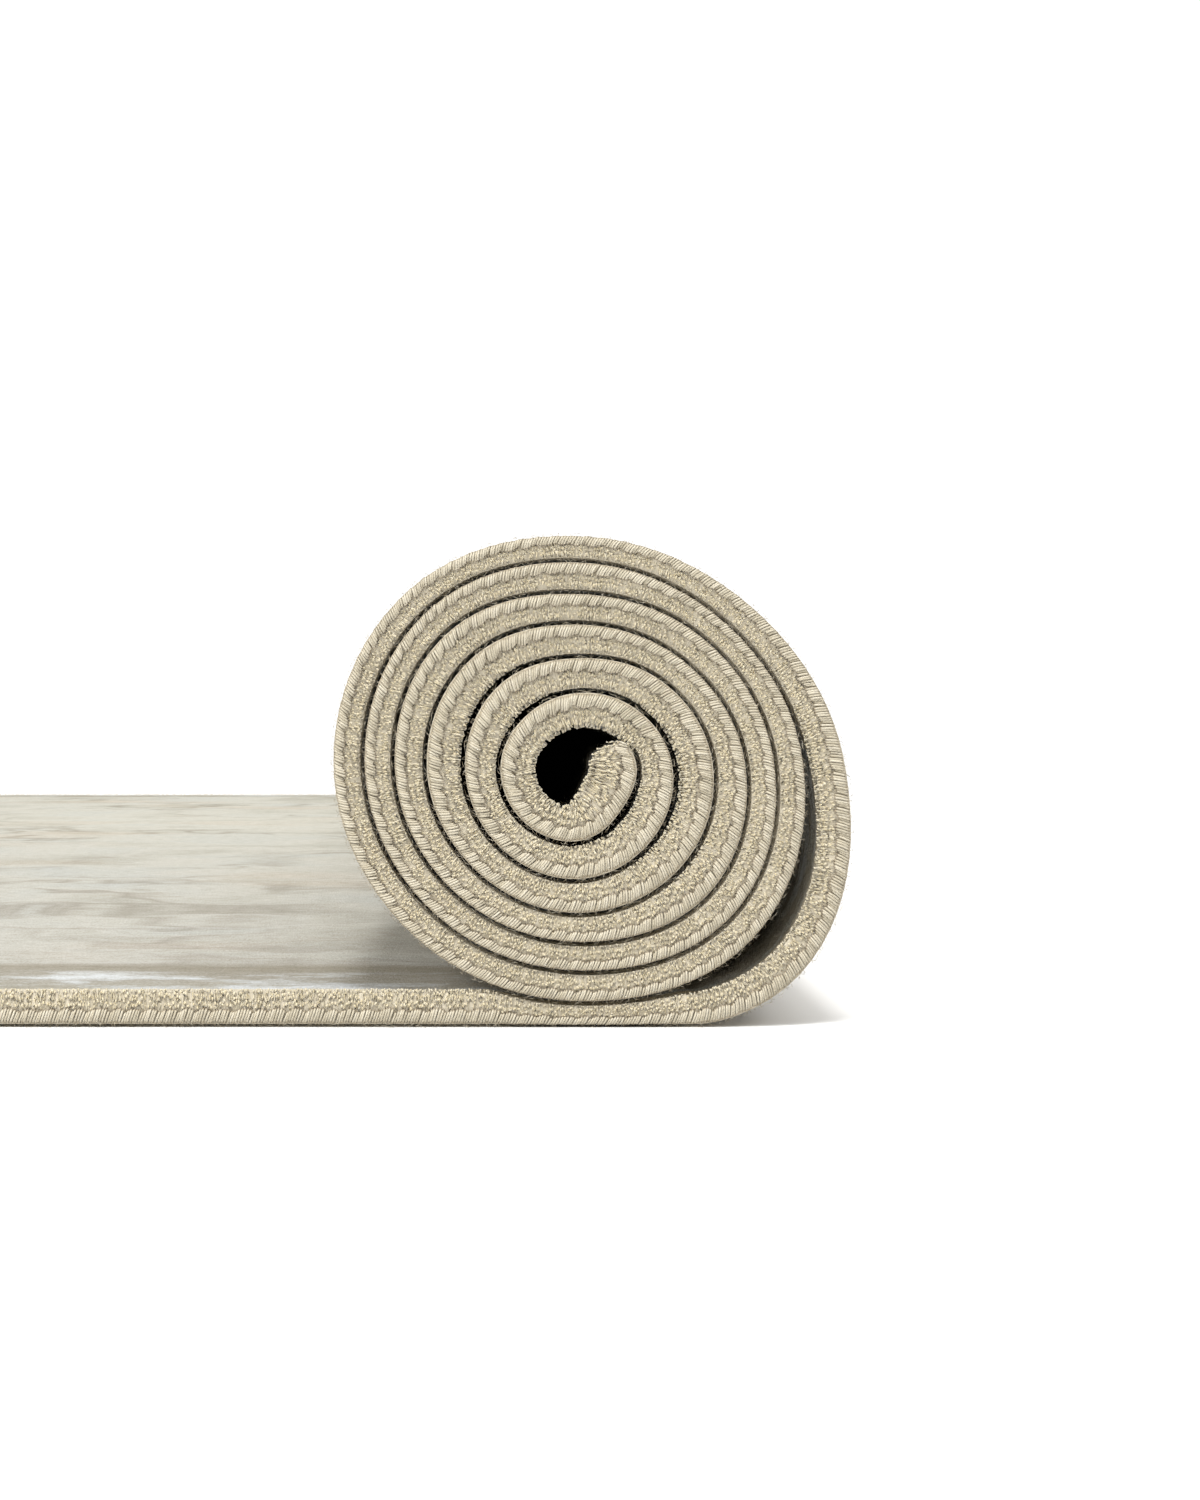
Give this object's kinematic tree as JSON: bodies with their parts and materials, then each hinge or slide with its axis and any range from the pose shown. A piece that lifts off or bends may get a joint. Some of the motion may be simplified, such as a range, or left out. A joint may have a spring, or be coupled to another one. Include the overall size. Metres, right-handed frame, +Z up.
{
  "type": "rolled up carpet",
  "caption": "Cut-pile carpet wound into a loose roll with its last stretch lying flat, its sides and ends overcast with yarn.",
  "frame": {"origin": "middle of the object's base, on the surface that it lies on", "axes": "+X from the flat end towards the roll, +Y along the roll, +Z up"},
  "size_m": [0.7198, 1.6, 0.1297],
  "materials": {
    "pile": "cut pile",
    "edging_yarn": "spun yarn"
  },
  "bodies": {
    "root": {"carpet": "pile", "edging_front": "edging_yarn", "edging_rear": "edging_yarn", "edging_flat_end": "edging_yarn", "edging_inner_end": "edging_yarn"}
  },
  "joints": []
}
